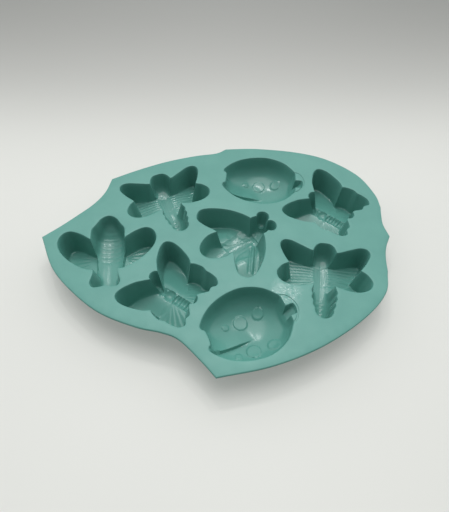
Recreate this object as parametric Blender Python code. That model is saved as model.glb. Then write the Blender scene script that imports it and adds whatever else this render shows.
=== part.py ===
"""Silicone soap mould: a leaf-shaped sheet with eight insect-shaped cups under it.

The sheet lies level at the top, and the cups hang from it down to the table.
Every cup is a union of drafted pockets, one for each wing, head or body of its
insect, and its outside repeats the inside one wall further out. The lengths
below are millimetres, and MM turns them into metres. The origin is the centre
of the leaf's bounding box, on the table, with +X towards the leaf's broad end.
"""
import math

import bmesh
import bpy
from mathutils import Matrix, Vector

MM = 0.001

# Driving dimensions, in millimetres.
HEIGHT = 26.0            # table to the sheet's top face
SHEET = 2.4              # sheet thickness
GAP = 0.3                # clearance between the sheet and the cups
WALL = 2.0               # cup wall and cup floor
SHEET_EDGE = 0.9         # rounding of the sheet's rim
LIP = 0.5                # half the width of the chamfer round each mouth
LIP_DROP = 0.8           # half the height of that chamfer
CUP_TOP = HEIGHT - SHEET - GAP
STAGGER = 0.17           # keeps the pockets' unused top faces off each other
STEPS = 2                # straight pieces between two outline points
SHEET_STEPS = 3          # the same for the leaf's own outline
SIDES = 10               # facets round a turned body
FOOT = [(0.3, 0.7), (0.7, 0.3)]     # a pocket's floor rounding: inset, drop
OUTER_FOOT = 0.8         # how slanted the cup's own foot is: inset over drop
STUB = 1.0               # how far a cutter stands above what it cuts
LID = 100.0              # side of the block that trims a cup's top
BODY_FULLNESS = 0.3      # 0.5 is an ellipse, less has squarer ends
OUTER_RINGS = 6          # lengths along the outside of a turned body
MERGE = 0.001            # vertices closer than this are one vertex
STRAIGHT = math.radians(0.5)        # bends below this are taken as straight
UPRIGHT = math.radians(80)          # the sheet's rim edges are sharper than this

SILICONE = (0.195, 0.402, 0.345, 1.0)
ROUGHNESS = 0.42

# The leaf's outline, clockwise from its left tip. Each run is smooth and
# starts at a corner.
LEAF_RUNS = [
    [(-144.0, 8.6), (-119, 31.5), (-99, 57)],
    [(-94.5, 73.5), (-46, 96), (0, 106.8)],
    [(9.5, 112.4), (40, 113), (75, 108), (105, 97), (129.5, 77), (141, 53)],
    [(143, 38), (140.8, 18)],
    [(143.4, 6), (136, -10)],
    [(133.5, -29), (127, -49), (106, -70), (72, -91), (35, -105)],
    [(-4.5, -112.4), (-14, -101), (-30, -84.5), (-62, -73.5), (-90, -61),
     (-113.5, -41.5), (-131, -20.5)],
]

# Where each cup stands: centre x and y, and how far its head turns from +Y.
PLACES = {
    "bee_cup": (-90.2, -4.5, 3.8),
    "dragonfly_cup_left": (-41.5, 46.0, 21.0),
    "dragonfly_cup_right": (81.8, -35.6, -9.6),
    "butterfly_cup_front": (-32.8, -42.8, 54.5),
    "butterfly_cup_back": (102.3, 38.4, 52.2),
    "moth_cup": (15.6, 8.0, -59.4),
    "ladybird_cup_back": (42.3, 71.5, -96.7),
    "ladybird_cup_front": (22.1, -70.6, -69.2),
}


# The ladybird's bowl and what lies in it.
LADYBIRD_DEPTH = 24.0
LADYBIRD_RIM = [(0, 29.4), (12, 27.8), (22, 20), (28, 9.5), (28.8, -4), (25.5, -18.5),
                (17.5, -30), (9.4, -36.6), (6, -35.2), (4.2, -34), (0, -33.8)]
BOWL_HALF = 29.0         # half the bowl's width at its rim
BOWL_RINGS = 5
BOWL_TURN = math.radians(86)        # how far round the wall curves to the floor
BOWL_FULLNESS = 2.7      # 2 is an ellipse, more is squarer
SPOTS = [(14, -3, 5.3), (17, 11.5, 4.6), (12.5, -14.5, 2.6)]   # x, y, radius
SPOT_SINK = 0.7          # how far the spots lie below the bowl
SPOT_SEGMENTS = 12
RIB_WIDTH = 1.5          # the rib that parts the wing cases
RIB_HEIGHT = 2.6
RIB_LENGTH = 36.0
RIB_MIDDLE = -16.0
RIB_ROOT = 0.4           # how far it reaches into the cup's wall
ANTENNA_CENTRE = 27.4    # the arched groove of the antennae, over the head
ANTENNA_WIDTH = 12.6
ANTENNA_RISE = 8.4
ANTENNA_RADIUS = 0.9
ANTENNA_POINTS = 14


# ---------------------------------------------------------------- helpers

def start_scene(name):
    """Empty the scene and give it the two collections the parts use."""
    for obj in list(bpy.data.objects):
        bpy.data.objects.remove(obj)
    collections = []
    for title in (name, name + "_cutters"):
        group = bpy.data.collections.new(title)
        bpy.context.scene.collection.children.link(group)
        collections.append(group)
    return collections


def add_object(name, mesh, collection):
    obj = bpy.data.objects.new(name, mesh)
    collection.objects.link(obj)
    return obj


def as_cutter(obj):
    obj.hide_render = True
    obj.display_type = "WIRE"
    return obj


def silicone(name):
    material = bpy.data.materials.new(name)
    material.use_nodes = True
    shader = material.node_tree.nodes["Principled BSDF"]
    shader.inputs["Base Color"].default_value = SILICONE
    shader.inputs["Roughness"].default_value = ROUGHNESS
    shader.inputs["Metallic"].default_value = 0.0
    return material


def boolean(obj, operation, other):
    """Union, cut or intersection. The manifold solver keeps shapes closed
    where several drafted pockets cross each other in one place."""
    modifier = obj.modifiers.new(operation.lower() + "_" + other.name, "BOOLEAN")
    modifier.operation = operation
    modifier.solver = "MANIFOLD"
    modifier.object = other


def welded(curve):
    """The solid that a curve makes, as one closed mesh."""
    holder = add_object("outline", curve, bpy.context.scene.collection)
    evaluated = holder.evaluated_get(bpy.context.evaluated_depsgraph_get())
    mesh = bpy.data.meshes.new_from_object(evaluated)
    bpy.data.objects.remove(holder)
    shape = bmesh.new()
    shape.from_mesh(mesh)
    bpy.data.meshes.remove(mesh)
    bmesh.ops.remove_doubles(shape, verts=shape.verts, dist=MERGE * MM)
    bmesh.ops.recalc_face_normals(shape, faces=shape.faces)
    return shape


def flat_shape(points, thickness, steps, corners=(), grow=0.0):
    """A closed smooth outline as a filled flat curve, made into a welded mesh.

    Its top face is at z = 0. The points in corners stay sharp, and grow moves
    the whole outline outwards.
    """
    curve = bpy.data.curves.new("outline", "CURVE")
    curve.dimensions = "2D"
    curve.fill_mode = "BOTH"
    curve.resolution_u = steps
    curve.extrude = thickness * MM / 2
    curve.offset = grow * MM
    spline = curve.splines.new("BEZIER")
    spline.bezier_points.add(len(points) - 1)
    for index, (point, (x, y)) in enumerate(zip(spline.bezier_points, points)):
        point.co = (x * MM, y * MM, 0)
        kind = "VECTOR" if index in corners else "AUTO"
        point.handle_left_type = kind
        point.handle_right_type = kind
    spline.use_cyclic_u = True
    shape = welded(curve)
    bmesh.ops.dissolve_limit(shape, angle_limit=STRAIGHT, verts=shape.verts,
                             edges=shape.edges)
    bmesh.ops.recalc_face_normals(shape, faces=shape.faces)
    bmesh.ops.translate(shape, verts=shape.verts, vec=(0, 0, -thickness * MM / 2))
    return shape


def finish_mesh(shape, name, height):
    """Lift a modelled shape to its height and turn it into a mesh."""
    bmesh.ops.translate(shape, verts=shape.verts, vec=(0, 0, height * MM))
    mesh = bpy.data.meshes.new(name)
    shape.to_mesh(mesh)
    shape.free()
    return mesh


def mirrored(half):
    """A whole outline from its right half, which starts and ends on x = 0."""
    return half + [(-x, y) for x, y in reversed(half) if x > 0]


def flipped(points):
    return [(-x, y) for x, y in reversed(points)]


PARTS, CUTTERS = start_scene("soap_mould")


# ---------------------------------------------------------------- pockets

def sink(shape, steps):
    """Draw the bottom face down through (inset, drop) steps.

    Each step pulls the face in towards its middle, by inset at its ends.
    """
    faces = [face for face in shape.faces if face.normal.z < -0.5]
    for inset, drop in steps:
        faces, verts = extrude_down(shape, faces, drop)
        low, high = extent(verts)
        middle = (low + high) / 2
        half = (high - low) / 2
        bmesh.ops.scale(shape, verts=verts, space=Matrix.Translation(-middle),
                        vec=(1 - inset * MM / half.x, 1 - inset * MM / half.y, 1))
    bmesh.ops.recalc_face_normals(shape, faces=shape.faces)


def extent(verts):
    """The lowest and highest corner of the box round some vertices."""
    low = Vector([min(vert.co[axis] for vert in verts) for axis in range(3)])
    high = Vector([max(vert.co[axis] for vert in verts) for axis in range(3)])
    return low, high


def extrude_down(shape, faces, drop):
    """Extrude faces straight down and return them and their verts there."""
    extruded = bmesh.ops.extrude_face_region(shape, geom=faces)["geom"]
    bmesh.ops.delete(shape, geom=faces, context="FACES")
    verts = [item for item in extruded if isinstance(item, bmesh.types.BMVert)]
    bmesh.ops.translate(shape, verts=verts, vec=(0, 0, -drop * MM))
    return [item for item in extruded if isinstance(item, bmesh.types.BMFace)], verts


def drafted_wall(drop, draft, corner):
    """A leaning wall that stops one corner short of the floor."""
    return [((drop - corner) * draft, drop - corner)]


def tilt_floor(shape, rise):
    """Slope a pocket's floor up towards the insect's middle by rise."""
    reach = [abs(vert.co.x) for vert in shape.verts]
    inner, outer = min(reach), max(reach)
    lowest = min(vert.co.z for vert in shape.verts)
    for vert in shape.verts:
        nearness = (outer - abs(vert.co.x)) / (outer - inner)
        sunk = min(1.0, max(0.0, vert.co.z / lowest))
        vert.co.z += rise * MM * nearness * sunk


def pocket_inside(pocket, number):
    """The hollow of one pocket, open above the sheet's top face."""
    points, depth, draft, corner, rise = pocket
    stub = STUB + STAGGER * number
    shape = flat_shape(points, stub, STEPS, grow=LIP)
    mouth = [(2 * LIP, 2 * LIP_DROP)]
    foot = [(inset * corner, drop * corner) for inset, drop in FOOT]
    sink(shape, mouth + drafted_wall(depth - LIP_DROP, draft, corner) + foot)
    tilt_floor(shape, rise)
    return finish_mesh(shape, "pocket", HEIGHT + LIP_DROP + stub)


def pocket_outside(pocket, number):
    """The body round one pocket, one wall further out, to above the cup's top."""
    points, depth, draft, corner, rise = pocket
    stub = STUB + STAGGER * number
    corner = corner + WALL / 2
    drop = depth + WALL - SHEET - GAP
    shape = flat_shape(points, stub, STEPS, grow=WALL - LIP)
    sink(shape, drafted_wall(drop, draft, corner) + [(OUTER_FOOT * corner, corner)])
    tilt_floor(shape, rise)
    return finish_mesh(shape, "pocket", CUP_TOP + stub)


def pockets(rows):
    """Every pocket of an insect: outline, depth, draft angle, floor rounding
    and the rise of the floor towards the middle.

    A half outline that starts on x = 0 is mirrored into one pocket, and any
    other outline gives a pocket on each side.
    """
    listed = []
    for points, depth, degrees, corner, rise in rows:
        draft = math.tan(math.radians(degrees))
        if points[0][0] == 0:
            listed.append((mirrored(points), depth, draft, corner, rise))
        else:
            listed.append((points, depth, draft, corner, rise))
            listed.append((flipped(points), depth, draft, corner, rise))
    return listed


def turned_body(body, grow):
    """A ringed body lying along Y, whose underside reaches depth.

    It is a turned shape: a long oval profile with ring-shaped swellings,
    spun about the insect's own axis.
    """
    middle, length, radius, depth, rings, swell = body
    half = length / 2 + grow
    count = OUTER_RINGS if grow else 2 * rings
    shape = bmesh.new()
    line = []
    for step in range(count + 1):
        along = 2 * step / count - 1
        reach = (radius + grow) * max(0.0, 1 - along * along) ** BODY_FULLNESS
        if step % 2 and grow == 0:
            reach += swell
        line.append(shape.verts.new((0, -along * half * MM, reach * MM)))
    for first, second in zip(line, line[1:]):
        shape.edges.new((first, second))
    bmesh.ops.spin(shape, geom=list(shape.verts) + list(shape.edges), cent=(0, 0, 0),
                   axis=(0, 1, 0), angle=2 * math.pi, steps=SIDES)
    bmesh.ops.remove_doubles(shape, verts=shape.verts, dist=MERGE * MM)
    bmesh.ops.recalc_face_normals(shape, faces=shape.faces)
    bmesh.ops.translate(shape, verts=shape.verts, vec=(0, middle * MM, 0))
    return finish_mesh(shape, "body", HEIGHT - depth + radius)


def union_of(name, meshes, collection):
    """One object that is the union of several closed meshes."""
    whole = add_object(name, meshes[0], collection)
    for number, mesh in enumerate(meshes[1:], start=1):
        extra = add_object(f"{name}_{number}", mesh, CUTTERS)
        boolean(whole, "UNION", as_cutter(extra))
    return whole


# ---------------------------------------------------------------- insects

def dragonfly():
    """Four long wings, a blunt head and a tapering tail."""
    wing_front = [(3, 14), (10, 25.8), (20, 30.8), (30.5, 34.2), (36.6, 29.5), (34, 21),
                  (27.8, 11), (16, 3.5), (5, 4)]
    wing_back = [(2, 4), (12, 11), (25, 12.3), (35, 7.8), (37.2, -0.5), (30, -7.5),
                 (18, -7.9), (5, -4.5)]
    head = [(0, 35), (5.2, 34), (8.8, 29.5), (10.6, 22), (8, 14), (0, 11)]
    trunk = [(0, 26), (6, 23), (9.4, 15), (8.8, 4), (8.5, -6), (10, -14), (8.2, -23),
             (5.7, -30.5), (0, -34.2)]
    rows = [(wing_front, 23.0, 7, 2.2, 0), (wing_back, 22.6, 7, 2.2, 0),
            (head, 16.5, 9, 3.0, 0), (trunk, 19.5, 7, 2.4, 0)]
    return rows, [(-3, 50, 5.2, 24.0, 7, 0.7)]


def butterfly():
    """Two pairs of broad wings, the back pair scalloped, and a ringed body."""
    wing_front = [(2, 14), (6, 24), (14, 30.6), (24, 34.8), (32.4, 33.2), (33.2, 23),
                  (27, 7.5), (15, -1), (3, 0)]
    wing_back = [(1.5, 3), (13, 9), (24.5, 6), (27.8, -3), (26.6, -12), (25, -19.5),
                 (20.8, -23), (16, -20.3), (11, -20.2), (7, -16.5), (4, -9)]
    trunk = [(0, 24), (3.4, 22), (4.0, 14), (4.8, 8), (4.4, 0), (4.8, -10),
             (4.4, -15.8), (0, -18.3)]
    rows = [(wing_front, 24.0, 7, 2.2, 7), (wing_back, 23.4, 7, 2.0, 6),
            (trunk, 16.5, 5, 1.2, 0)]
    return rows, [(0, 33, 3.6, 19.5, 7, 0.5)]


def bee():
    """A round head, a barrel body with rings, and two raised wings."""
    wing = [(7, 4), (14.2, 11.7), (22, 17.2), (30.5, 20.2), (38, 16), (39, 5), (31, -7.3),
            (20, -15.6), (10, -18.6), (5, -8)]
    head = [(0, 35.3), (6, 32.5), (10.3, 26), (13.2, 21), (13.6, 12), (9, 4), (0, 2)]
    trunk = [(0, 24), (8, 19), (12, 9), (11.6, -4), (10.4, -16), (9.8, -24), (10.8, -30),
             (8.4, -34.6), (0, -33.8)]
    rows = [(wing, 22.4, 7, 2.2, 0), (head, 17.0, 9, 3.5, 0), (trunk, 19.5, 7, 2.4, 0)]
    return rows, [(9, 34, 9.6, 24.0, 7, 0.6)]


def moth():
    """Two round eyes, long swept wings and a stout abdomen."""
    eye = [(5.4, 35), (9.2, 33.4), (11, 29.6), (9.2, 25.8), (5.4, 24.2), (1.4, 26),
           (0.2, 29.6), (1.6, 33.4)]
    wing = [(2, 15), (9, 20), (21, 14), (32, 3.8), (39, -8.5), (37.6, -16),
            (30, -19.2), (14, -12.6), (3, 0)]
    neck = [(0, 31), (7, 28), (9.6, 22), (8, 13), (0, 7)]
    trunk = [(0, 19), (7, 13), (9.2, 4), (10.8, -6), (12.9, -18), (11, -25.8), (6.5, -32), (0, -34.6)]
    rows = [(wing, 22.6, 7, 2.2, 0), (eye, 16.0, 6, 1.6, 0), (neck, 18.0, 7, 2.0, 0),
            (trunk, 20.0, 7, 2.6, 0)]
    return rows, [(-3, 46, 7.6, 24.0, 7, 0.5)]


# ---------------------------------------------------------------- ladybird

def ladybird():
    """The narrow head between the antennae. The body is the bowl."""
    head = [(0, 35.4), (3.6, 35.2), (4.5, 33.6), (3.4, 27), (0, 25)]
    return [(head, 12.0, 5, 1.4, 0)], []


def bowl(grow, top, depth):
    """A full round bowl below the ladybird's rim, filled, from top downwards."""
    shape = flat_shape(mirrored(LADYBIRD_RIM), STUB, STEPS, grow=grow)
    steps = []
    reach, level = 1.0, 0.0
    for ring in range(1, BOWL_RINGS + 1):
        turn = BOWL_TURN * ring / BOWL_RINGS
        new_reach = math.cos(turn) ** (2 / BOWL_FULLNESS)
        new_level = (math.sin(turn) / math.sin(BOWL_TURN)) ** (2 / BOWL_FULLNESS)
        inset = (reach - new_reach) * (BOWL_HALF + grow)
        steps.append((inset, (new_level - level) * depth))
        reach, level = new_reach, new_level
    sink(shape, steps)
    return finish_mesh(shape, "bowl", top + STUB)


def bowl_cutter(name, grow, depth):
    """The ladybird's bowl moved by grow all round, as a cutter."""
    return as_cutter(add_object(name, bowl(grow, HEIGHT, depth), CUTTERS))


def block(name, width, length, height, middle, bottom):
    """A plain block on the insect's centre line, as a cutter."""
    shape = bmesh.new()
    size = Matrix.Diagonal((width * MM, length * MM, height * MM, 1))
    place = Matrix.Translation((0, middle * MM, (bottom + height / 2) * MM))
    bmesh.ops.create_cube(shape, size=1, matrix=place @ size)
    return as_cutter(add_object(name, finish_mesh(shape, name, 0), CUTTERS))


def spot_cutter(name):
    """Round spots that sink a little deeper than the bowl."""
    shape = bmesh.new()
    for x, y, radius in SPOTS:
        for side in (-1, 1):
            place = Matrix.Translation((side * x * MM, y * MM, HEIGHT / 2 * MM))
            bmesh.ops.create_cone(shape, cap_ends=True, segments=SPOT_SEGMENTS,
                                  radius1=radius * MM, radius2=radius * MM,
                                  depth=HEIGHT * MM, matrix=place)
    spots = as_cutter(add_object(name, finish_mesh(shape, name, 0), CUTTERS))
    reach = bowl_cutter(name + "_reach", SPOT_SINK, LADYBIRD_DEPTH + SPOT_SINK)
    boolean(spots, "INTERSECT", reach)
    return spots


def wing_split(name):
    """The rib that parts the two wing cases, following the bowl's floor."""
    rib = block(name, RIB_WIDTH, RIB_LENGTH, CUP_TOP - 2 * GAP, RIB_MIDDLE, GAP)
    outer = bowl_cutter(name + "_outer", RIB_ROOT, LADYBIRD_DEPTH + RIB_ROOT)
    inner = bowl_cutter(name + "_inner", -RIB_HEIGHT, LADYBIRD_DEPTH - RIB_HEIGHT)
    boolean(rib, "INTERSECT", outer)
    boolean(rib, "DIFFERENCE", inner)
    return rib


def antenna_groove(name):
    """The two antennae: one shallow round groove arched over the head."""
    curve = bpy.data.curves.new(name, "CURVE")
    curve.dimensions = "3D"
    curve.bevel_depth = ANTENNA_RADIUS * MM
    curve.bevel_resolution = 1
    curve.use_fill_caps = True
    spline = curve.splines.new("POLY")
    spline.points.add(ANTENNA_POINTS - 1)
    for index, point in enumerate(spline.points):
        turn = math.pi * (index + 0.5) / ANTENNA_POINTS
        x = ANTENNA_WIDTH * math.cos(turn)
        y = ANTENNA_CENTRE + ANTENNA_RISE * math.sin(turn)
        point.co = (x * MM, y * MM, HEIGHT * MM, 1)
    return as_cutter(add_object(name, finish_mesh(welded(curve), name, 0), CUTTERS))


# ---------------------------------------------------------------- assembly

def insect_cup(name, insect):
    """One cup, the plug that hollows it and opens the sheet above it, and
    the other cutters that both of them use."""
    before = set(CUTTERS.objects)
    rows, bodies = insect()
    numbered = list(enumerate(pockets(rows)))
    inside = [pocket_inside(pocket, number) for number, pocket in numbered]
    outside = [pocket_outside(pocket, number) for number, pocket in numbered]
    inside += [turned_body(body, 0) for body in bodies]
    outside += [turned_body(body, WALL) for body in bodies]
    if insect is ladybird:
        inside.append(bowl(0, HEIGHT, LADYBIRD_DEPTH))
        outside.append(bowl(WALL, CUP_TOP, CUP_TOP))
    plug = as_cutter(union_of(name + "_plug", inside, CUTTERS))
    cup = union_of(name, outside, PARTS)
    if insect is ladybird:
        boolean(plug, "UNION", spot_cutter(name + "_spots"))
        boolean(cup, "DIFFERENCE", plug)
        boolean(cup, "UNION", wing_split(name + "_split"))
    else:
        boolean(cup, "DIFFERENCE", plug)
    lid = block(name + "_lid", LID, LID, HEIGHT, 0, CUP_TOP)
    boolean(cup, "DIFFERENCE", lid)
    cutters = [obj for obj in CUTTERS.objects if obj not in before and obj is not plug]
    return cup, plug, cutters


def leaf_sheet(name):
    """The leaf-shaped sheet, with its rim rounded above and below."""
    points = [point for run in LEAF_RUNS for point in run]
    corners = [points.index(run[0]) for run in LEAF_RUNS]
    shape = flat_shape(points, SHEET, SHEET_STEPS, corners=corners)
    rim = [edge for edge in shape.edges
           if edge.verts[0].co.z == edge.verts[1].co.z and edge.calc_face_angle() > UPRIGHT]
    bmesh.ops.bevel(shape, geom=rim, offset=SHEET_EDGE * MM, segments=2, profile=0.5,
                    affect="EDGES")
    return add_object(name, finish_mesh(shape, name, HEIGHT), PARTS)


def build_mould():
    """The sheet and the eight cups under it, centred on the origin."""
    sheet = leaf_sheet("leaf_sheet")
    low, high = extent(sheet.data.vertices)
    frame = bpy.data.objects.new("mould_frame", None)
    PARTS.objects.link(frame)
    frame.location = (-(low.x + high.x) / 2, -(low.y + high.y) / 2, 0)
    sheet.parent = frame
    kinds = {"bee": bee, "dragonfly": dragonfly, "butterfly": butterfly, "moth": moth,
             "ladybird": ladybird}
    for name, (x, y, turn) in PLACES.items():
        insect = kinds[name.split("_")[0]]
        cup, plug, cutters = insect_cup(name, insect)
        place = bpy.data.objects.new(name + "_frame", None)
        PARTS.objects.link(place)
        place.parent = frame
        place.location = (x * MM, y * MM, 0)
        place.rotation_euler = (0, 0, math.radians(turn))
        for obj in [cup, plug] + cutters:
            obj.parent = place
        boolean(sheet, "DIFFERENCE", plug)
        if insect is ladybird:
            groove = antenna_groove(name + "_antennae")
            groove.parent = place
            boolean(sheet, "DIFFERENCE", groove)
    for obj in PARTS.objects:
        if obj.type == "MESH":
            obj.data.materials.append(silicone("silicone_" + obj.name))


build_mould()
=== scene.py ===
"""Looks of the silicone soap mould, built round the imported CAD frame.

Each insect's hollow is a height field: the depth below the sheet's top face is
worked out from how far a point lies inside the outlines of the insect's head,
trunk and wings, and the relief on the floors is added to it. The cup's outside
is the same field one wall further out. Lengths are millimetres, in the frame's
axes, and MM turns them into the frame's metres.
"""
import math

import bpy
import numpy as np
from mathutils import Matrix, Vector
from mathutils.geometry import delaunay_2d_cdt


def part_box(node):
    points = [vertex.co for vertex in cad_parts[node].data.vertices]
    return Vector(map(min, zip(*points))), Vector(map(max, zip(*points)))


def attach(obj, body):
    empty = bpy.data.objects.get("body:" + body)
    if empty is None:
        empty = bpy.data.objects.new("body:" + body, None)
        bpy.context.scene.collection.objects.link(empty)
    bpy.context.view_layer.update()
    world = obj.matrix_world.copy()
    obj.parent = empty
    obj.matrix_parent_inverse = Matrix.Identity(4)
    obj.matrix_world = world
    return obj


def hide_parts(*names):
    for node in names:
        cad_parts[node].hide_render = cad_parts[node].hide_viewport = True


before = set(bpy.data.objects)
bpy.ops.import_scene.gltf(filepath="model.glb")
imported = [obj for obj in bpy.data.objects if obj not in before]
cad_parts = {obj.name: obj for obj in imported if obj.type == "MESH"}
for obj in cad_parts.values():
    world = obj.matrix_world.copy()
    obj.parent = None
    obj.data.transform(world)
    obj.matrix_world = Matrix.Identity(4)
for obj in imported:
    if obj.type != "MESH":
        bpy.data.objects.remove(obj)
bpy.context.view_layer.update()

MM = 0.001
sheet_low, sheet_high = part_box("leaf_sheet")
TOP = sheet_high.z / MM                          # height of the sheet's top face
SHEET = (sheet_high.z - sheet_low.z) / MM        # the sheet's thickness
WALL = 2.0               # cup wall and floor
DRAFT = math.radians(9)  # lean of the cavity walls
LEAN = math.tan(DRAFT)   # how far a wall leans in for each millimetre of depth
BEND = math.tan((math.pi / 2 - DRAFT) / 2)       # how far a rounded corner reaches, per radius
RIM = 0.6                # rounding of a cavity's mouth
OUTER_RIM = 0.35         # rounding where a cup meets the sheet's underside
RING = 2.4               # how far outside its mouth a cup's piece ends
EDGE = 0.9               # rounding of the leaf's own edge
EDGE_STEPS = 8           # rows of faces round the leaf's edge
CUP_FLOOR = 22.8         # depth where a wing's wall meets its floor
CREST = 1.0              # rounding of the crests between lobes
CREST_SHARP = 1          # depth above which the crests stay sharp
CREST_SOFT = 4           # depth below which they are fully rounded

SPACING = 0.8            # between points along an insect's outline
LEAF_SPACING = 1.6       # between points along the leaf's outline
GRID = 0.7               # between points on a cavity's floor
OUTER_GRID = 1.6         # between points on a cup's underside
DECK_GRID = 5.0          # between points on the sheet
GRID_GAP = 0.6           # grid spacings that a grid keeps from the last row of points
EDGE_GAP = 2.0           # how far the sheet's grid keeps from its edge
RING_GAP = 1.5           # how far it keeps from a cup's ring
FOLD = 0.04              # error that shows that a moved outline has folded over
CORNER = 0.9             # cosine of the turn that makes a corner
CREST_STEP = 2.4         # furthest that a crest's points lie apart
SHORTEST_ROW = 8         # an outline moved in needs more points than this
SHORTEST_LOOP = 5        # and a closed line needs more than this
SHARP = math.radians(38)  # a steeper fold than this is shaded as an edge
WELD = 0.002             # points closer than this are one point
BATCH = 4000             # points handled at a time

# The leaf's outline, in smooth runs; each starts at one of the leaf's points
LEAF_RUNS = [
    [(-144.0, 8.6), (-131, 19.8), (-119, 31.5), (-107.5, 43.5), (-99, 57)],
    [(-94.5, 73.5), (-72, 84.8), (-46, 95.8), (-20, 103.3), (0, 106.8)],
    [(9.5, 112.4), (40, 113), (75, 108), (105, 97), (129.5, 77), (141, 53)],
    [(143, 38), (141.3, 27), (140.8, 18)],
    [(143.4, 6), (138, -5), (135, -16)],
    [(133.5, -29), (127, -49), (106, -70), (72, -91), (35, -105)],
    [(-4.5, -112.4), (-14, -101), (-30, -84.5), (-43, -78.5), (-62, -73.5), (-90, -61),
     (-113.5, -41.5), (-131, -20.5)],
]

# Where each insect's origin lies, and how far the insect is turned, in degrees
PLACES = {
    "bee_cup": (-90.2, -4.5, 3.8),
    "dragonfly_cup_left": (-41.5, 46.0, 21.0),
    "dragonfly_cup_right": (81.8, -35.6, -9.6),
    "butterfly_cup_front": (-32.8, -42.8, 54.5),
    "butterfly_cup_back": (102.3, 38.4, 52.2),
    "moth_cup": (15.6, 8.0, -59.4),
    "ladybird_cup_back": (42.3, 71.5, -96.7),
    "ladybird_cup_front": (22.1, -70.6, -69.2),
}


# ---------------------------------------------------------------- outlines

def smooth_run(points, closed, spacing):
    """A smooth curve through points, sampled about every spacing."""
    knots = np.array(points, float)
    count = len(knots)
    pieces = []
    for i in range(count if closed else count - 1):
        b, c = knots[i], knots[(i + 1) % count]
        a = knots[i - 1] if closed or i > 0 else 2 * b - c
        d = knots[(i + 2) % count] if closed or i + 2 < count else 2 * c - b
        steps = max(2, round(np.linalg.norm(c - b) / spacing))
        t = np.linspace(0, 1, steps, endpoint=False)[:, None]
        pieces.append(b + 0.5 * t * (c - a + t * (2 * a - 5 * b + 4 * c - d
                                                  + t * (3 * b - a - 3 * c + d))))
    return np.vstack(pieces)


def anticlockwise(loop):
    """A closed loop, turned round if it runs clockwise."""
    x, y = loop.T
    area = np.sum(x * np.roll(y, -1) - y * np.roll(x, -1))
    return loop if area > 0 else loop[::-1]


def mirrored(half):
    """A whole outline from its right half, which starts and ends on x = 0."""
    return half + [(-x, y) for x, y in reversed(half) if x > 0]


def leaf_outline():
    """The leaf's outline; its smooth runs meet at the leaf's points."""
    runs = [smooth_run(run + [after[0]], False, LEAF_SPACING)
            for run, after in zip(LEAF_RUNS, LEAF_RUNS[1:] + LEAF_RUNS[:1])]
    return anticlockwise(np.vstack(runs))


def inside_distance(loop, at):
    """How far points lie inside a closed loop; it is negative outside."""
    start = loop[None]
    end = np.roll(loop, -1, 0)[None]
    edge = end - start
    length = np.maximum((edge ** 2).sum(2), 1e-12)
    slope = edge[..., 0] / np.where(edge[..., 1] == 0, 1, edge[..., 1])
    found = []
    for first in range(0, len(at), BATCH):
        here = at[first:first + BATCH, None]
        gap = here - start
        t = np.clip((gap * edge).sum(2) / length, 0, 1)
        near = np.sqrt(((gap - t[..., None] * edge) ** 2).sum(2).min(1))
        y = here[..., 1]
        crosses = (start[..., 1] > y) != (end[..., 1] > y)
        right = here[..., 0] < start[..., 0] + (y - start[..., 1]) * slope
        odd = (crosses & right).sum(1) % 2 == 1
        found.append(np.where(odd, near, -near))
    return np.concatenate(found)


def normals(loop):
    """Unit normals pointing into an anticlockwise loop."""
    along = np.roll(loop, -1, 0) - np.roll(loop, 1, 0)
    along /= np.linalg.norm(along, axis=1)[:, None]
    return np.stack([-along[:, 1], along[:, 0]], 1)


def moved_in(loop, by):
    """A loop moved inwards, without the points that would fold over."""
    moved = loop + normals(loop) * by
    return moved[np.abs(inside_distance(loop, moved) - by) < FOLD]


def triangulate(coords, edges, faces):
    """Triangles over some closed faces, through every point and edge.

    Returns the points, the triangles and which faces each triangle lies in.
    """
    verts, _, triangles, _, _, owners = delaunay_2d_cdt(
        [Vector(point) for point in coords], edges, faces, 0, WELD)
    inside = [(tri, owner) for tri, owner in zip(triangles, owners) if owner]
    return (np.array([tuple(vert) for vert in verts], float),
            [tri for tri, _ in inside], [owner for _, owner in inside])


def numbered(loops):
    """The points of some loops in one list, and each loop as point numbers."""
    coords, faces = [], []
    for loop in loops:
        faces.append(list(range(len(coords), len(coords) + len(loop))))
        coords += [tuple(point) for point in loop]
    return coords, faces


def union_loops(loops):
    """The outline of the union of some closed loops, as closed loops."""
    coords, faces = numbered(loops)
    verts, triangles, _ = triangulate(coords, [], faces)
    edges = {(a, b) for tri in triangles for a, b in zip(tri, tri[1:] + tri[:1])}
    onward = {}
    for a, b in edges:
        if (b, a) not in edges:
            onward.setdefault(a, []).append(b)
    found = []
    while onward:
        here = min(onward)
        loop = []
        while here in onward:
            loop.append(verts[here])
            ends = onward[here]
            step = ends.pop()
            if not ends:
                del onward[here]
            here = step
        if len(loop) > SHORTEST_LOOP:
            found.append(np.array(loop, float))
    return found


drawn_leaf = leaf_outline()
SHIFT = -(drawn_leaf.min(0) + drawn_leaf.max(0)) / 2    # puts the leaf's middle on the origin


# ---------------------------------------------------------------- depths

def smooth_step(low, high, value):
    """0 below low, 1 above high, and an even S between them."""
    t = np.clip((value - low) / (high - low), 0, 1)
    return t * t * (3 - 2 * t)


def soft_max(a, b, blend):
    """The greater of a and b, with the crease between them rounded."""
    h = np.clip(0.5 + 0.5 * (a - b) / blend, 0, 1)
    return b + (a - b) * h + blend * h * (1 - h)


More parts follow.
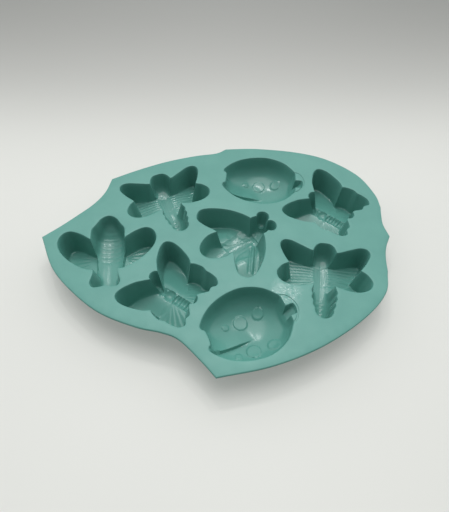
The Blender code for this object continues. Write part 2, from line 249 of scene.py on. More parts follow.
def wall_depth(inside, floor, foot, rim):
    """Depth of a wall with a rounded rim that runs into the floor in an arc."""
    rim_end = rim * (math.cos(DRAFT) - BEND)
    corner = floor * LEAN
    wall_end = corner - foot * BEND * math.sin(DRAFT)
    floor_start = corner + foot * BEND
    arc = floor - foot + np.sqrt(np.maximum(0, foot ** 2 - (floor_start - inside) ** 2))
    round_rim = rim - np.sqrt(np.maximum(0, rim ** 2 - (inside + rim * BEND) ** 2))
    depth = np.where(inside > wall_end, arc, inside / LEAN)
    depth = np.where(inside > floor_start, floor, depth)
    depth = np.where(inside < rim_end, round_rim, depth)
    return np.where(inside < -rim * BEND, 0, depth)


def line_gap(x, y, path):
    """Distance to an open line through some points."""
    near = np.full(x.shape, np.inf)
    for (ax, ay), (bx, by) in zip(path, path[1:]):
        ex, ey = bx - ax, by - ay
        t = np.clip(((x - ax) * ex + (y - ay) * ey) / (ex * ex + ey * ey), 0, 1)
        near = np.minimum(near, np.hypot(x - ax - t * ex, y - ay - t * ey))
    return near


def ridge(x, y, path, width):
    """A round ridge of height 1 along a line."""
    return np.exp(-(line_gap(x, y, path) / width) ** 2)


def veins(x, y, root, pitch):
    """Fine ridges that fan out from a point, between -1 and 1; pitch is an angle."""
    angle = np.arctan2(y - root[1], np.abs(x) - root[0])
    return np.cos(angle * 2 * math.pi / pitch)


def band(value, low, high, fade):
    """1 between low and high, and 0 beyond a fade on either side."""
    return smooth_step(low - fade, low, value) * (1 - smooth_step(high, high + fade, value))


TROUGH_STEP = 0.25       # between samples along a trough
TROUGH_MARGIN = 6        # how far the samples run on past its ends
TROUGH_SOFT = 13         # samples averaged to soften its kinks


def trough(knots):
    """A floor hollowed along Y, from rows of y, half width, depth and sag."""
    rows = np.array(knots, float)
    fine = np.arange(rows[0, 0] - TROUGH_MARGIN, rows[-1, 0] + TROUGH_MARGIN, TROUGH_STEP)
    window = np.full(TROUGH_SOFT, 1 / TROUGH_SOFT)
    soft = [np.convolve(np.interp(fine, rows[:, 0], row), window, "same") for row in rows.T[1:]]
    whole_windows = slice(TROUGH_SOFT // 2 + 1, -(TROUGH_SOFT // 2 + 1))

    def floor(x, y):
        width, depth, sag = (np.interp(y, fine[whole_windows], row[whole_windows])
                             for row in soft)
        across = np.clip(x / width, -1, 1)
        return depth - sag * (1 - np.sqrt(1 - across ** 2))
    return floor


def level(depth):
    """A flat floor."""
    return lambda x, y: np.full(x.shape, depth)


def smooth(x, y):
    """No relief."""
    return np.zeros(x.shape)


# ---------------------------------------------------------------- insects
#
# An insect is a list of lobes. Each has its closed outlines, the depth of its
# floor, the rounding where its walls meet the floor, and the relief on the floor,
# which is deeper where it is positive. Y points to the insect's head.

def whole(points):
    """A smooth closed outline from the points of its right half."""
    return [anticlockwise(smooth_run(mirrored(points), True, SPACING))]


def pair(points):
    """A smooth closed outline and its mirror image."""
    loop = anticlockwise(smooth_run(points, True, SPACING))
    return [loop, anticlockwise(loop * [-1, 1])]


def dragonfly():
    """Two pairs of ribbed wings, and a deep trunk with a ringed tail."""
    wing_front = pair([(-5, 22), (2, 26), (8, 27.2), (11, 26.8), (20, 30.8), (28.5, 34.2),
                       (34.5, 33.4), (36.6, 28.5), (33.6, 20.5), (28.9, 12.8), (25, 6.4),
                       (16, 2.5), (5, 2), (-5, 3)])
    wing_back = pair([(-5, 7), (12, 14), (24, 15.4), (29.4, 11.6), (34, 8.3), (37.4, 2),
                      (35, -4.2), (28, -7.8), (18, -7.9), (5, -4.5), (-5, -4)])
    trunk = whole([(0, 35), (5.2, 34), (8.6, 29.5), (10.2, 22), (9.6, 15), (8.8, 4), (8.5, -6),
                   (9.9, -11), (9.2, -14), (9.7, -17), (8.4, -20), (8.6, -23), (7.0, -26),
                   (6.8, -29), (4.6, -32.4), (0, -34.2)])
    spine = trough([(-35, 7, 15.0, 5), (-31, 7, 18.0, 6), (-25, 6.6, 20.4, 8),
                    (-15, 7.2, 21.2, 8), (-6, 8.6, 21.0, 6), (2, 12, 20.2, 1.0),
                    (14, 12, 20.0, 0.7), (20, 11, 19.8, 1.6), (25, 10, 19.4, 3),
                    (30, 9.5, 18.0, 4), (34, 9, 14.5, 5)])

    def wing_floor(x, y):
        return 19.7 + 4.1 * smooth_step(6, 33, np.abs(x))

    def wing_relief(x, y):
        return 0.2 * veins(x, y, (-60, 11), 0.037) * band(np.abs(x), 8, 30, 4)

    def trunk_relief(x, y):
        hairs = 0.04 * np.cos(x * 2 * math.pi / 2.3) * band(y, -6, 24, 5)
        keel = 0.2 * ridge(x, y, [(0, 27), (0, -24)], 2.4)
        tail_rings = 0.25 * np.cos(y * 2 * math.pi / 4.4) * band(y, -26, -10, 3)
        return hairs + keel + tail_rings * (1 - smooth_step(1, 3, np.abs(x)))
    return [(wing_front, wing_floor, 0.8, wing_relief),
            (wing_back, wing_floor, 1.1, wing_relief),
            (trunk, spine, 3.0, trunk_relief)]


def butterfly():
    """Two pairs of wings that slope up to a narrow body of beads."""
    wing_front = pair([(-5, 16.5), (0.5, 19), (4.2, 22.2), (9, 26.6), (14, 30.6), (24, 35.2),
                       (31, 34.8), (33.6, 28), (31.4, 17), (26.5, 7), (15, -1), (3, 0), (-5, 0)])
    wing_back = pair([(-5, 3), (13, 9), (24.5, 6), (27.8, -3), (26.4, -9), (26.4, -13),
                      (25, -19.5), (20.8, -23), (16.2, -20.3), (12.5, -20.8), (9.5, -18.6),
                      (6.5, -16), (3.4, -15.2), (-4, -14.2)])
    trunk = whole([(0, 25.6), (3.2, 24.6), (4.9, 21.4), (4.6, 17), (4.2, 12), (4.9, 8), (4.4, 2),
                   (4.7, -4), (4.4, -10), (4.5, -14.6), (2.6, -17.6), (0, -18.3)])
    belly = [(2.6 - 2.8 * i, 4.4, 1.9) for i in range(6)]
    beads = [(8.3, 5.0, 4.6), (14.8, 3.4, 2.2)] + belly    # y, half width and half length

    def floor(x, y):
        wings = 18.2 + 5.65 * smooth_step(2, 25, np.abs(x))
        pit = 18.9 * band(y, -16, 18, 0.5) * (np.abs(x) < 4.2)
        found = np.maximum(wings, pit)
        for middle, width, half in beads:
            gap = (x / width) ** 2 + ((y - middle) / half) ** 2
            found = np.maximum(found, 18.2 + 2.8 * np.sqrt(np.maximum(0, 1 - gap)))
        return found

    def relief(x, y):
        side = np.abs(x)
        seam = ridge(side, y, [(20, 4.0), (16.5, 2.6), (13, 0.6)], 0.6)
        lines = veins(x, y, (0, 6), 0.2) * band(side, 8, 22, 3) * band(y, -18, -1, 3)
        return 0.17 * lines - 0.5 * seam * band(x, 0, 40, 1)
    return [(wing_front, floor, 1.3, relief), (wing_back, floor, 1.3, relief),
            (trunk, floor, 0.7, smooth)]


def bee():
    """One pair of veined wings, and a fat round body with rings on its back."""
    wing = pair([(9.4, 8.6), (14.2, 11.7), (22, 17.2), (30.5, 20.4), (37, 17.5), (39.7, 10),
                 (37.3, 1.3), (30, -7.9), (20, -15.4), (11, -18.8), (7.6, -14), (7.2, -6),
                 (8.0, 2)])
    trunk = whole([(0, 35.3), (6, 32.5), (10.3, 26), (13.4, 21), (13.9, 12), (15.6, 6),
                   (15.8, -2), (14.6, -9), (11.6, -15), (9.8, -18.5), (9.6, -22),
                   (10.6, -26.5), (11.6, -30.5), (9.6, -34.4), (5, -34.9), (0, -34)])
    belly = trough([(-36, 11, 19.5, 4), (-28, 12, 21.0, 5), (-20, 10.5, 21.4, 5),
                    (-12, 11.5, 21.4, 5.5), (-5, 12.5, 21.4, 7), (0, 14.2, 21.4, 8),
                    (8, 14.6, 21.0, 8.5), (16, 14.4, 20.0, 8), (22, 13.2, 18.8, 7),
                    (27, 11.5, 15.8, 6), (31, 10, 12.5, 5), (35, 9, 9, 4)])

    def rings(x, y):
        """Swellings 4.55 apart with narrow grooves between them, curved a little."""
        phase = (y - 0.006 * x * x + 0.8) * math.pi / 4.55
        swell = np.abs(np.sin(phase)) ** 0.5
        return 0.42 * (swell - 0.4) * band(y, 0, 28.5, 1.5) * band(np.abs(x), 0, 9, 3)

    def wing_floor(x, y):
        return 21.6 + 1.8 * smooth_step(14, 34, np.abs(x))

    def wing_relief(x, y):
        return 0.10 * veins(x, y, (6, 4), 0.22) * band(np.abs(x), 19, 30, 5)
    return [(wing, wing_floor, 1.3, wing_relief), (trunk, belly, 2.5, rings)]


def moth():
    """One pair of folded wings, a broad flat chest and two round eyes."""
    eye = pair([(5.4, 35), (9.4, 33.4), (11.2, 29.6), (9.4, 25.8), (5.4, 24.2), (1.4, 26),
                (0.2, 29.6), (1.6, 33.4)])
    wing = pair([(-5, 17), (2, 20.5), (9, 20), (18, 15.8), (27, 9), (34, 0.8), (39, -8.5),
                 (38.6, -14.8), (32.6, -19.4), (24, -17.6), (14, -12.8), (9, -12.4), (2, -10.5),
                 (-5, -8)])
    trunk = whole([(0, 31), (7, 28), (9.6, 22), (8.8, 16), (8.6, 9), (9.4, 2), (10.8, -6),
                   (12.9, -18), (11, -25.8), (6.5, -32.2), (0, -34.6)])
    spine = trough([(-36, 10, 17, 6), (-29, 10, 19.6, 7), (-18, 11.5, 21.0, 8),
                    (-9, 13, 21.4, 4), (1, 11.6, 21.5, 1.6), (10, 14, 21.4, 1.2),
                    (21, 10, 20.6, 2), (27, 8, 18, 3.4), (31, 8, 15.5, 3)])

    def chest(x, y):
        """A broad flat hollow that narrows at the waist."""
        edge = np.interp(y, [-8, 1, 11, 21], [13, 9, 12, 9])
        hollow = 1.9 * (1 - smooth_step(edge - 4.5, edge, np.abs(x)))
        return np.maximum((19.5 + hollow) * band(y, -8, 20, 2), spine(x, y))

    def floor(x, y):
        wings = 19.5 + 4.1 * smooth_step(14, 36, np.abs(x))
        return np.maximum(wings, chest(x, y))

    def streaks(x, y):
        """Fine hairs that run aslant in three tufts."""
        across = 0.72 * x + 0.69 * y
        hairs = np.cos(across * 2 * math.pi / 2.4)
        breast = np.exp(-(((x + 2.5) / 5.5) ** 2 + ((y - 9) / 4) ** 2))
        neck = np.exp(-(((x + 3) / 4) ** 2 + ((y - 24) / 3) ** 2))
        waist = np.exp(-(((x - 5) / 5) ** 2 + ((y + 4) / 4) ** 2))
        return 0.09 * hairs * (breast + neck + 0.8 * waist)

    def wing_relief(x, y):
        """Long folds that run along the right wing's leading edge."""
        gap = (x - 9) * -0.609 + (y - 20) * -0.793
        along = (x - 9) * 0.793 - (y - 20) * 0.609
        folds = (0.9 * np.exp(-((gap - 4.6) / 0.9) ** 2) - 0.9 * np.exp(-((gap - 6.8) / 1.2) ** 2)
                 + 0.7 * np.exp(-((gap - 9.2) / 0.9) ** 2))
        return folds * np.where(x > 0, 1.0, 0.15) * band(along, 3, 24, 5)

    def relief(x, y):
        return streaks(x, y) + wing_relief(x, y)
    return [(wing, floor, 1.3, relief), (eye, level(15.0), 3.0, smooth),
            (trunk, chest, 0.9, streaks)]


def ladybird():
    """A round bowl with spots, a small pocket for the head and a groove for antennae."""
    middle = 2.2                                     # x of the line between the spots
    spots = [(12.7, -3, 5.6), (14.4, 12.5, 4.6), (12.9, -15.5, 2.7)]    # x from it, y, radius
    groove = 0.55                                    # half width of the antennae's groove
    rim = whole([(0, 29.2), (6, 29.2), (11.4, 28.9), (14.2, 27.0), (18, 24.0), (22.6, 19.2),
                 (26.5, 12), (28.9, 3), (28.6, -6), (26.4, -15.5), (22.4, -24.2), (17, -31),
                 (12.4, -35.0), (9.4, -36.7), (7.2, -36.0), (6.0, -34.4), (3.2, -33.9),
                 (0, -33.8)])
    head = [anticlockwise(smooth_run(
        [(-2.2, 25), (-2.3, 30), (-2.3, 34.4), (-1.2, 35.6), (2, 35.9), (5.2, 35.5), (6.2, 34.2),
         (6.5, 30), (6.8, 25), (2.4, 23)], True, SPACING))]
    arch = smooth_run([(-12.0, 28.6), (-10.6, 32), (-8, 34.4), (-4, 36.3), (0.4, 36.9),
                       (4.6, 36.1), (8, 34.1), (10.8, 31.6), (12.6, 28.4)], False, SPACING)
    across = np.gradient(arch, axis=0) @ [[0, 1], [-1, 0]]
    across *= groove / np.linalg.norm(across, axis=1)[:, None]
    antennae = [anticlockwise(np.vstack([arch + across, (arch - across)[::-1]]))]
    lap_y, lap_x = np.array([(-38, 9.6), (-32, 8.5), (-23, 7.5), (-12, 6.3), (-1, 5.3),
                             (4, 4.6)]).T

    def dish(x, y):
        """An oval bowl below a short straight wall."""
        gap = (x / 30) ** 2 + ((y + 3) / 34) ** 2
        return 5.5 + 18 * np.sqrt(np.maximum(0, 1 - gap))

    def nape(x, y):
        """The head pocket's floor, which slopes down into the bowl."""
        return 3.0 + np.clip(35.5 - y, 0, 20) * 0.95

    def wing_cases(x, y):
        """Raised spots, one wing case lapped over the other, and a fold at the neck."""
        side = np.abs(x - middle)
        relief = np.zeros(x.shape)
        for spot_x, spot_y, radius in spots:
            gap = np.hypot(side - spot_x, y - spot_y)
            relief -= 0.8 * (1 - smooth_step(radius - 0.5, radius + 0.3, gap))
        lapped = np.interp(y, lap_y, lap_x) - x
        step = (2.2 + 0.06 * np.clip(-y, 0, 36)) * (1 - smooth_step(-11, 4.5, y))
        relief -= step * smooth_step(-0.5, 0.3, lapped) * (1 - smooth_step(-2, 22, lapped))
        neck = [(-9, 28.4), (-5, 27), (0, 26.1), (5, 26.3), (10, 27.6)]
        return relief - 0.6 * ridge(x, y, neck, 0.8)
    return [(rim, dish, 4, wing_cases), (head, nape, 0.6, smooth),
            (antennae, level(2.6), 0.3, smooth)]


INSECTS = {"bee": bee, "dragonfly": dragonfly, "butterfly": butterfly, "moth": moth,
           "ladybird": ladybird}


# ---------------------------------------------------------------- meshes

def hex_points(low, high, spacing):
    """Points of a triangular grid over a box."""
    rows = np.arange(low[1], high[1], spacing * math.sqrt(3) / 2)
    columns = np.arange(low[0], high[0], spacing)
    x = columns[None, :] + (np.arange(len(rows)) % 2)[:, None] * spacing / 2
    y = np.broadcast_to(rows[:, None], x.shape)
    return np.stack([x.ravel(), y.ravel()], 1)


def deepest(loops, at):
    """Distance inside the union of some loops."""
    return np.max([inside_distance(loop, at) for loop in loops], axis=0)


def corners(loop):
    """Numbers of the points where a loop turns sharply."""
    ahead = np.roll(loop, -1, 0) - loop
    ahead /= np.maximum(np.linalg.norm(ahead, axis=1), 1e-9)[:, None]
    straight = (ahead * np.roll(ahead, 1, 0)).sum(1)
    return np.nonzero(straight < CORNER)[0]


def patch(ring, loops, levels, spacing):
    """Triangles over a ring, with a row of points along each level line.

    The corners of neighbouring rows are joined, so the crests between lobes run
    along edges of the mesh.
    """
    coords, faces = numbered([ring])
    edges = []
    above = []
    for reach in levels:
        moved = [moved_in(loop, reach) for loop in loops]
        moved = [loop for loop in moved if len(loop) > SHORTEST_ROW]
        turns = []
        for row in union_loops(moved) if moved else []:
            first = len(coords)
            coords += [tuple(point) for point in row]
            count = len(row)
            edges += [(first + i, first + (i + 1) % count) for i in range(count)]
            turns += [first + int(i) for i in corners(row)]
        for here in turns:
            near = min(above, key=lambda i: math.dist(coords[i], coords[here]), default=here)
            if near != here and math.dist(coords[near], coords[here]) < CREST_STEP:
                edges.append((near, here))
        above = turns
    grid = hex_points(ring.min(0), ring.max(0), spacing)
    grid = grid[deepest(loops, grid) > levels[-1] + GRID_GAP * spacing]
    coords += [tuple(point) for point in grid]
    verts, triangles, _ = triangulate(coords, edges, faces)
    return verts, triangles


def blended(depths):
    """The greatest of some depths, with the crests between lobes rounded."""
    crisp = np.max(depths, axis=0)
    soft = depths[0]
    for depth in depths[1:]:
        soft = soft_max(soft, depth, CREST)
    return crisp + (soft - crisp) * smooth_step(CREST_SHARP, CREST_SOFT, crisp)


def cup_fields(lobes):
    """A cup's inner and outer depth at any point, from its insect's lobes."""
    rows = [(loop, floor, foot, relief) for loops, floor, foot, relief in lobes
            for loop in loops]

    def inner(at):
        x, y = at.T
        depths = []
        for loop, floor, foot, relief in rows:
            inside = inside_distance(loop, at)
            sunk = floor(x, y) + relief(x, y)
            depths.append(wall_depth(inside, sunk, np.minimum(foot, sunk), RIM))
        return blended(depths)

    def outer(at):
        x, y = at.T
        depths = []
        for loop, floor, foot, _ in rows:
            inside = inside_distance(loop, at) + WALL
            sunk = floor(x, y) + WALL - SHEET
            depths.append(wall_depth(inside, sunk, np.minimum(foot + 1, sunk), OUTER_RIM))
        return SHEET + np.max(depths, axis=0)
    return inner, outer


RIM_ROWS = (1, 0.55, 0.2)    # rows round the rim, as shares of its reach outwards
WALL_ROWS = 5            # rows down the wall
FOOT_ROWS = 6            # rows along the arc at its foot
FOOT_CROWDING = 1.5      # above 1, they crowd towards the steep end of the arc
SHORTEST_WALL = 0.3      # least distance inside the outline where the wall ends
WIDEST_FOOT = 4          # furthest that the arc reaches beyond that


def wall_levels(floor, foot):
    """Distances inside an outline where a wall needs a row of points."""
    wall_end = max(SHORTEST_WALL, floor * LEAN - foot * BEND * math.sin(DRAFT))
    floor_start = min(floor * LEAN + foot * BEND, wall_end + WIDEST_FOOT)
    rows = [-share * RIM * BEND for share in RIM_ROWS] + [RIM * (math.cos(DRAFT) - BEND)]
    rows += list(np.linspace(rows[-1], wall_end, WALL_ROWS + 1)[1:])
    arc = np.linspace(0, 1, FOOT_ROWS + 1)[1:] ** FOOT_CROWDING
    return rows + list(wall_end + (floor_start - wall_end) * arc)


def placed(at, place):
    """Points moved from an insect's own axes to the frame's."""
    x, y, turn = place
    turn = math.radians(turn)
    spin = np.array([[math.cos(turn), -math.sin(turn)], [math.sin(turn), math.cos(turn)]])
    return at @ spin.T + [x + SHIFT[0], y + SHIFT[1]]


def sway(xy):
    """The slight unevenness of the soft sheet: a broad swell and a lesser ripple."""
    x, y = xy.T
    return (0.30 * np.sin(x / 31 + 0.6) * np.cos(y / 27 - 0.4)
            + 0.16 * np.sin(x / 13.5 - y / 19) - 0.25)


def lifted(xy, z):
    """3-D points, in metres, with the sheet's unevenness added near its height."""
    return np.column_stack([xy, z + sway(xy) * np.clip(z / TOP, 0, 1)]) * MM


def make_piece(name, verts, faces):
    """A mesh object, shaded smooth but for its sharp folds."""
    mesh = bpy.data.meshes.new(name)
    mesh.from_pydata(verts.tolist(), [], faces)
    mesh.update()
    mesh.shade_smooth()
    mesh.set_sharp_from_angle(angle=SHARP)
    piece = bpy.data.objects.new(name, mesh)
    bpy.context.scene.collection.objects.link(piece)
    return piece


def ring_wall(top, bottom):
    """Faces between two rings of vertex numbers, facing away from the middle."""
    after = list(range(1, len(top))) + [0]
    return [(bottom[i], bottom[j], top[j], top[i]) for i, j in enumerate(after)]


def numbers_of(points, verts):
    """The vertex number of each ring point in a patch."""
    gaps = ((verts[None] - points[:, None]) ** 2).sum(2)
    return gaps.argmin(1).tolist()


def cup(name, insect, place):
    """One insect's cup, and the ring where it meets the sheet."""
    lobes = insect()
    loops = [loop for loops, _, _, _ in lobes for loop in loops]
    inner, outer = cup_fields(lobes)
    ring = max(union_loops([moved_in(loop, -RING) for loop in loops]), key=len)
    first_foot = lobes[0][2]
    levels = wall_levels(CUP_FLOOR, first_foot)
    outer_levels = [reach - WALL for reach in levels[2::2]]
    over, over_faces = patch(ring, loops, levels, GRID)
    under, under_faces = patch(ring, loops, outer_levels, OUTER_GRID)
    top = lifted(placed(over, place), TOP - inner(over))
    bottom = lifted(placed(under, place), TOP - outer(under))
    count = len(over)
    faces = [tuple(face) for face in over_faces]
    faces += [tuple(count + i for i in reversed(face)) for face in under_faces]
    faces += ring_wall(numbers_of(ring, over), [count + i for i in numbers_of(ring, under)])
    return make_piece(name, np.vstack([top, bottom]), faces), placed(ring, place)


def leaf_sheet(name, outline, rings):
    """The sheet: top and underside with the cups' rings cut out, and its rim."""
    inward = normals(outline)
    inner = outline + inward * EDGE
    coords, loops = numbered([inner] + rings)
    grid = hex_points(inner.min(0), inner.max(0), DECK_GRID)
    clear = inside_distance(inner, grid) > EDGE_GAP
    for ring in rings:
        clear &= inside_distance(ring, grid) < -RING_GAP
    coords += [tuple(point) for point in grid[clear]]
    at, triangles, owners = triangulate(coords, [], loops)
    kept = [tri for tri, owner in zip(triangles, owners) if owner == [0]]
    count = len(at)
    verts = [lifted(at, TOP), lifted(at, TOP - SHEET)]
    faces = [tuple(tri) for tri in kept]
    faces += [tuple(count + i for i in reversed(tri)) for tri in kept]
    for ring in rings:
        top = numbers_of(ring, at)
        bottom = [count + i for i in top]
        faces += [tuple(reversed(face)) for face in ring_wall(top, bottom)]
    above = numbers_of(inner, at)
    last = [count + i for i in above]
    base = 2 * count
    for step in range(1, EDGE_STEPS):
        turn = math.pi * step / EDGE_STEPS
        inset = EDGE * (1 - math.sin(turn))
        z = TOP - SHEET / 2 + (SHEET / 2) * math.cos(turn)
        points = outline + inward * inset
        verts.append(lifted(points, z))
        here = list(range(base, base + len(points)))
        base += len(points)
        faces += ring_wall(above, here)
        above = here
    faces += ring_wall(above, last)
    return make_piece(name, np.vstack(verts), faces)


# ---------------------------------------------------------------- materials

TEAL = [(0.35, (0.093, 0.281, 0.238, 1)), (0.65, (0.106, 0.304, 0.257, 1))]
TABLE_WHITE = [(0.0, (0.46, 0.462, 0.455, 1)), (1.0, (0.50, 0.50, 0.49, 1))]
# painted shade: the table's colour darkens towards the back, and the same ramp colours its
# painted glow
TABLE_SHADE = [(0.0, (1, 1, 0.955, 1)), (0.25, (0.94, 0.94, 0.8977, 1)),
               (0.48, (0.70, 0.70, 0.6685, 1)), (0.76, (0.46, 0.46, 0.4393, 1)),
               (1.0, (0.42, 0.44, 0.42, 1))]
SHADE_START = 0.08       # where the table begins to darken, in metres
SHADE_END = 0.42         # where it is darkest
GLOSSY = 0.18            # roughness in the hollows
MATT = 0.42              # roughness on the sheet
MATT_DEPTH = 0.4         # depth above which the silicone is matt
GLOSSY_DEPTH = 2.5       # depth below which it is glossy
DAMP = (51.0, -46.0)     # middle of a damp spot left on the sheet
DAMP_RADIUS = 7.0        # how far it is fully wet
DAMP_FADE = 13.5         # where it is dry again


def blank_material(name):
    """A new material, its node tree and its shader."""
    material = bpy.data.materials.new(name)
    material.use_nodes = True
    return material, material.node_tree, material.node_tree.nodes["Principled BSDF"]


def feed(tree, node, inputs):
    """Link a node's inputs to other nodes, or set them to numbers or colours."""
    for name, value in inputs.items():
        if isinstance(value, bpy.types.NodeSocket):
            tree.links.new(value, node.inputs[name])
        else:
            node.inputs[name].default_value = value
    return node


def add(tree, kind, inputs):
    """A new shader node with some of its inputs fed."""
    return feed(tree, tree.nodes.new("ShaderNode" + kind), inputs)


def noise(tree, where, scale, detail):
    """Cloudy noise between 0 and 1; scale is in clouds per metre."""
    node = add(tree, "TexNoise", {"Vector": where, "Scale": scale, "Detail": detail})
    return node.outputs["Fac"]


def ranged(tree, value, low, high, first, last):
    """A value that runs from first to last as another runs from low to high."""
    node = add(tree, "MapRange", {"Value": value, "From Min": low, "From Max": high,
                                  "To Min": first, "To Max": last})
    return node.outputs["Result"]


def maths(tree, operation, first, second):
    """Two values added or multiplied."""
    node = add(tree, "Math", {0: first, 1: second})
    node.operation = operation
    return node.outputs["Value"]


def ramped(tree, value, stops, interpolation):
    """A colour read from a ramp with the given stops, the first and last included."""
    node = add(tree, "ValToRGB", {"Fac": value})
    ramp = node.color_ramp
    ramp.interpolation = interpolation
    for element, (place, colour) in zip(ramp.elements, (stops[0], stops[-1])):
        element.position = place
        element.color = colour
    for place, colour in stops[1:-1]:
        ramp.elements.new(place).color = colour
    return node.outputs["Color"]


def bumped(tree, height, strength, distance):
    """A normal disturbed by a height; distance is in metres."""
    node = add(tree, "Bump", {"Height": height, "Strength": strength, "Distance": distance})
    return node.outputs["Normal"]


def silicone():
    """Teal silicone: matt on the sheet, glossier in the hollows, damp in one spot."""
    material, tree, shader = blank_material("teal_silicone")
    where = add(tree, "TexCoord", {}).outputs["Object"]
    height = add(tree, "SeparateXYZ", {"Vector": where}).outputs["Z"]
    mottle = noise(tree, where, 38.0, 4.0)
    finish = ranged(tree, height, (TOP - GLOSSY_DEPTH) * MM, (TOP - MATT_DEPTH) * MM,
                    GLOSSY, MATT)
    smudge = ranged(tree, noise(tree, where, 90.0, 3.0), 0.3, 0.7, -0.03, 0.05)
    grain = noise(tree, where, 1400.0, 2.0)

    damp_middle = (DAMP[0] * MM, DAMP[1] * MM, TOP * MM)
    to_damp = add(tree, "VectorMath", {0: where, 1: damp_middle})
    to_damp.operation = "DISTANCE"
    spot = ranged(tree, to_damp.outputs["Value"], DAMP_RADIUS * MM, DAMP_FADE * MM, 1.0, 0.0)
    droplets = ranged(tree, noise(tree, where, 300.0, 1.0), 0.40, 0.48, 0.0, 1.0)
    ripples = noise(tree, where, 650.0, 1.0)

    feed(tree, shader, {
        "Base Color": ramped(tree, mottle, TEAL, "LINEAR"),
        "IOR": 1.41,
        "Specular IOR Level": 0.55,
        "Roughness": maths(tree, "ADD", finish, smudge),
        "Normal": bumped(tree, grain, 0.10, 0.0004),
        "Coat Weight": maths(tree, "MULTIPLY", spot, droplets),
        "Coat Roughness": 0.13,
        "Coat Normal": bumped(tree, ripples, 1.0, 0.00045),
    })
    return material


def table_material():
    """A pale, faintly clouded table, with painted shade that darkens it where it curves up
    behind, and a faint painted glow.
    """
    material, tree, shader = blank_material("pale_table")
    where = add(tree, "TexCoord", {}).outputs["Object"]
    back = add(tree, "SeparateXYZ", {"Vector": where}).outputs["Y"]
    pale = ramped(tree, noise(tree, where, 3.0, 2.0), TABLE_WHITE, "LINEAR")
    distance = ranged(tree, back, SHADE_START, SHADE_END, 0.0, 1.0)
    # painted shade: the table's colour is darkened further back along Y
    shade = ramped(tree, distance, TABLE_SHADE, "B_SPLINE")
    mix = tree.nodes.new("ShaderNodeMix")
    mix.data_type = "RGBA"
    mix.blend_type = "MULTIPLY"
    feed(tree, mix, {"Factor": 1.0, "A": pale, "B": shade})
    feed(tree, shader, {
        "Base Color": mix.outputs["Result"],
        "Roughness": 0.55,
        # painted light: the table glows faintly in the shade ramp's colour, which lightens the
        # mould's shadow on it
        "Emission Color": shade,
        "Emission Strength": 0.22,
    })
    return material


# ---------------------------------------------------------------- set and light

SWEEP_FRONT = -1.4       # where the table ends in front, in metres
SWEEP_WIDTH = 4.0        # the table's width
SWEEP_START = 0.16       # where the table begins to rise
SWEEP_RADIUS = 0.38      # radius of its curve
SWEEP_TURN = 62          # how steep it becomes, in degrees
SWEEP_STEPS = 12         # rows of faces round the curve

# Each lamp's place, what it points at, and its size in metres and power in watts
LAMPS = {
    "overhead": ((0.0, 0.2, 1.3), (0, 0.02, 0), 1.0, 6),
    "glint_left": ((-0.20, 0.62, 1.2), (0, 0, 0), 0.04, 1.3),
    "glint_right": ((0.20, 0.62, 1.2), (0, 0, 0), 0.04, 1.3),
}

SKY = (0.95, 0.98, 1.0, 1)
SKY_FRONT = 0.20         # brightness of the room in front
SKY_BACK = 1.35          # brightness of the room behind
SKY_EDGE = 0.45          # how far the two fade into each other, as a direction's y

CAMERA = (-0.00863, -0.2181, 0.32165)
HEADING = math.radians(3.7)      # the camera's turn to the right of +Y
DIP = math.radians(55.21)        # how far it looks down
ROLL = math.radians(2.33)        # how far it leans to one side
LENS = 31.64             # focal length for a sensor 36 mm high


def sweep():
    """A pale table that curves up behind the mould."""
    profile = [(SWEEP_FRONT, 0.0), (SWEEP_START, 0.0)]
    for step in range(1, SWEEP_STEPS + 1):
        turn = math.radians(SWEEP_TURN * step / SWEEP_STEPS)
        profile.append((SWEEP_START + SWEEP_RADIUS * math.sin(turn),
                        SWEEP_RADIUS * (1 - math.cos(turn))))
    verts = [(x, y, z) for y, z in profile for x in (-SWEEP_WIDTH / 2, SWEEP_WIDTH / 2)]
    faces = [(2 * i, 2 * i + 1, 2 * i + 3, 2 * i + 2) for i in range(len(profile) - 1)]
    mesh = bpy.data.meshes.new("backdrop")
    mesh.from_pydata(verts, [], faces)
    mesh.shade_smooth()
    mesh.materials.append(table_material())
    backdrop = bpy.data.objects.new("backdrop", mesh)
    bpy.context.scene.collection.objects.link(backdrop)
    return backdrop


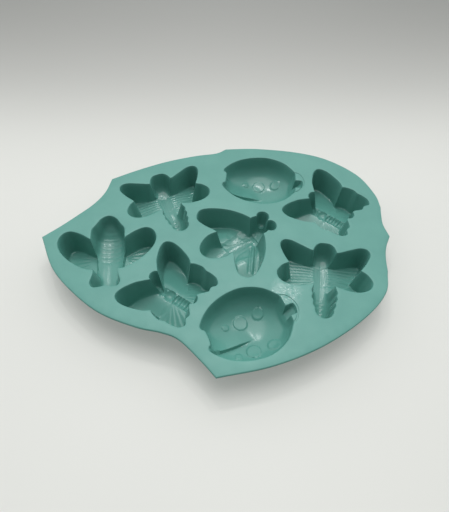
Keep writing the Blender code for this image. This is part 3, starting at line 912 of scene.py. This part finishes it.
def lamp(name, place, target, size, power):
    """A round white lamp pointed at a target."""
    light = bpy.data.lights.new(name, "AREA")
    light.shape = "DISK"
    light.size = size
    light.energy = power
    obj = bpy.data.objects.new(name, light)
    bpy.context.scene.collection.objects.link(obj)
    obj.location = place
    aim = Vector(target) - Vector(place)
    obj.rotation_euler = aim.to_track_quat("-Z", "Y").to_euler()


def studio():
    """Soft light from above and behind, with a dim room in front."""
    world = bpy.data.worlds.new("studio")
    world.use_nodes = True
    tree = world.node_tree
    way = add(tree, "TexCoord", {}).outputs["Generated"]
    back = add(tree, "SeparateXYZ", {"Vector": way}).outputs["Y"]
    strength = ranged(tree, back, -SKY_EDGE, SKY_EDGE, SKY_FRONT, SKY_BACK)
    strength.node.interpolation_type = "SMOOTHSTEP"
    feed(tree, tree.nodes["Background"], {"Color": SKY, "Strength": strength})
    return world


def aim_camera():
    """The camera stands in front of the mould and looks down on it."""
    lens = bpy.data.cameras.new("camera")
    lens.lens = LENS
    lens.sensor_fit = "VERTICAL"
    lens.sensor_height = 36
    lens.clip_start = 0.01
    camera = bpy.data.objects.new("camera", lens)
    bpy.context.scene.collection.objects.link(camera)
    camera.location = CAMERA
    ahead = Vector((math.sin(HEADING) * math.cos(DIP), math.cos(HEADING) * math.cos(DIP),
                    -math.sin(DIP)))
    right = Vector((math.cos(HEADING), -math.sin(HEADING), 0))
    up = right.cross(ahead)
    rolled_right = right * math.cos(ROLL) + up * math.sin(ROLL)
    rolled_up = up * math.cos(ROLL) - right * math.sin(ROLL)
    camera.rotation_euler = Matrix((rolled_right, rolled_up, -ahead)).transposed().to_euler()
    bpy.context.scene.camera = camera


# ---------------------------------------------------------------- the mould on its table

skin = silicone()
pieces, rings = [], []
for node, place in PLACES.items():
    piece, ring = cup(node + "_skin", INSECTS[node.split("_")[0]], place)
    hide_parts(node)
    pieces.append(piece)
    rings.append(ring)
sheet = leaf_sheet("leaf_sheet_skin", drawn_leaf + SHIFT, rings)
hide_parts("leaf_sheet")
pieces.append(sheet)
for piece in pieces:
    piece.data.materials.append(skin)
    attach(piece, "root")

sweep()
for name, (place, target, size, power) in LAMPS.items():
    lamp(name, place, target, size, power)
bpy.context.scene.world = studio()
bpy.context.scene.view_settings.view_transform = "Standard"
aim_camera()
